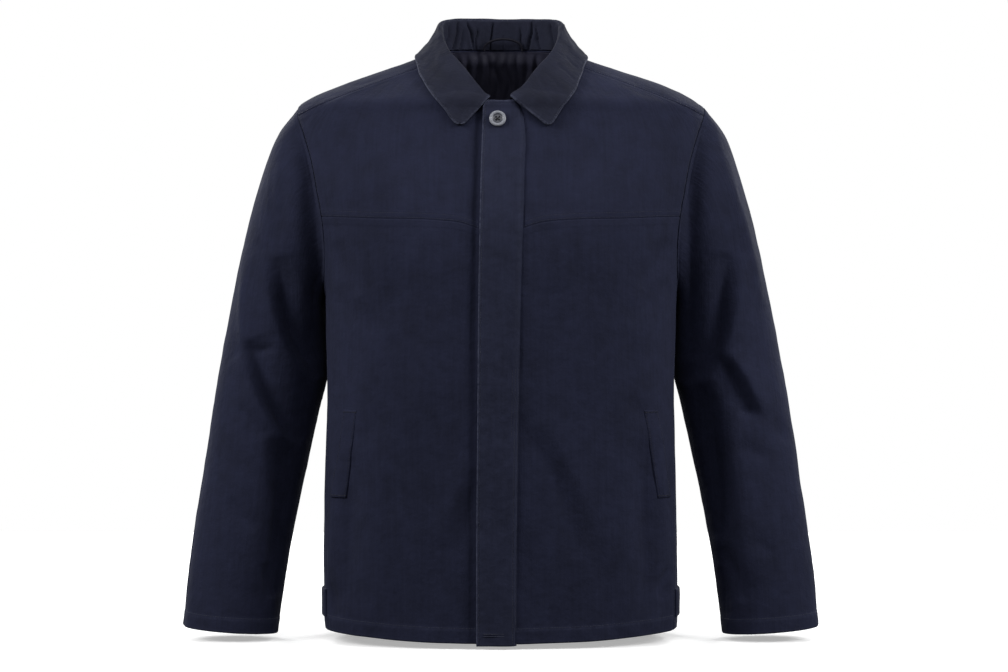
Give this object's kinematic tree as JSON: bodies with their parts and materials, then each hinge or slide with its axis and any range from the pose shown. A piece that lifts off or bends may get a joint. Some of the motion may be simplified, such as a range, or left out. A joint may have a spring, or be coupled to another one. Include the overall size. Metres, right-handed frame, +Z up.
{
  "type": "zip-up jacket",
  "caption": "Hollow worn-form zip-up jacket with a turned-down collar, a buttoned fly over the zip, yoked fronts, slanted pockets and long set-in sleeves.",
  "frame": {"origin": "middle of the neck base, level with the tops of the shoulders that hold the jacket up", "axes": "+Z up, +X towards the wearer's left, -Y the way the wearer faces"},
  "size_m": [0.7888, 0.2985, 0.7771],
  "materials": {
    "navy_cotton": "matt woven cotton, faintly faded along the seams",
    "navy_cotton_collar": "matt woven cotton, a little paler",
    "lining": "smooth dark lining",
    "zip_tape": "matt ribbed tape",
    "zip_metal": "dull grey metal",
    "button_horn": "satin grey-blue"
  },
  "bodies": {
    "root": {"back": "navy_cotton", "front_yoke_left": "navy_cotton", "front_yoke_right": "navy_cotton", "front_panel_left": "navy_cotton", "front_panel_right": "navy_cotton", "sleeve_left": "navy_cotton", "sleeve_right": "navy_cotton", "collar": "navy_cotton_collar", "back_lining": "lining", "hanger_loop": "lining", "placket": "navy_cotton", "zip_tape_left": "zip_tape", "zip_tape_right": "zip_tape", "zip_chain": "zip_metal", "zip_slider": "zip_metal", "zip_pull": "zip_metal", "button": "button_horn", "pocket_welt_left": "navy_cotton", "pocket_welt_right": "navy_cotton", "side_tab_left": "navy_cotton", "side_tab_right": "navy_cotton"}
  },
  "joints": []
}
